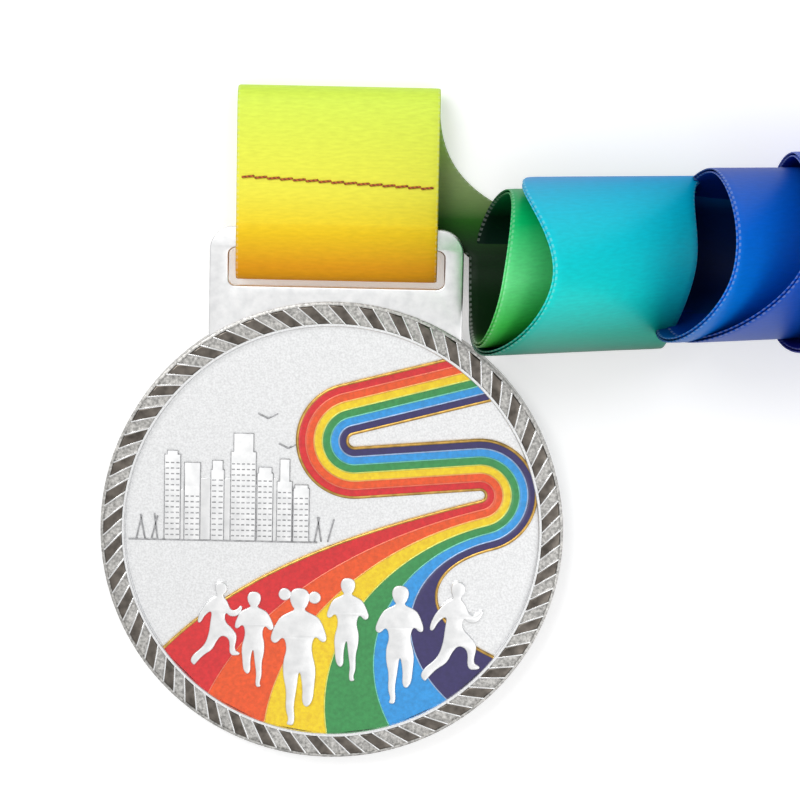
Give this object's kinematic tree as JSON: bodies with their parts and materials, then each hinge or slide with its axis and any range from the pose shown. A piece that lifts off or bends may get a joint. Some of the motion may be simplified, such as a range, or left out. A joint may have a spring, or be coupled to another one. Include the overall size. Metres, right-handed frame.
{
  "type": "finisher medal",
  "caption": "Round die-cast medal with a slotted tab, slanted rim bars, six enamel road lanes and runners, on a sewn neck ribbon that swings about the tab's bar",
  "frame": {"origin": "centre of the disc's flat back face, which lies on the table", "axes": "X along the ribbon slot, Y from the disc towards the tab, Z out of the decorated face"},
  "size_m": [0.1323, 0.1021, 0.0385],
  "materials": {
    "silver": "sand-blasted field, polished bars",
    "enamel_red": "gloss",
    "enamel_orange": "gloss",
    "enamel_yellow": "gloss",
    "enamel_green": "gloss",
    "enamel_blue": "gloss",
    "enamel_indigo": "gloss",
    "ribbon": "satin",
    "thread": "twisted"
  },
  "bodies": {
    "medal": {"medal_casting": "silver", "enamel_red": "enamel_red", "enamel_orange": "enamel_orange", "enamel_yellow": "enamel_yellow", "enamel_green": "enamel_green", "enamel_blue": "enamel_blue", "enamel_indigo": "enamel_indigo"},
    "ribbon": {"neck_ribbon": "ribbon", "needle_thread": "thread", "bobbin_thread": "thread"}
  },
  "joints": [
    {"name": "ribbon_swing", "type": "hinge", "parent": "medal", "child": "ribbon", "pos_m": [0, 0.04445, 0.0035], "axis": [1, 0, 0], "range_deg": [0, 22]}
  ]
}
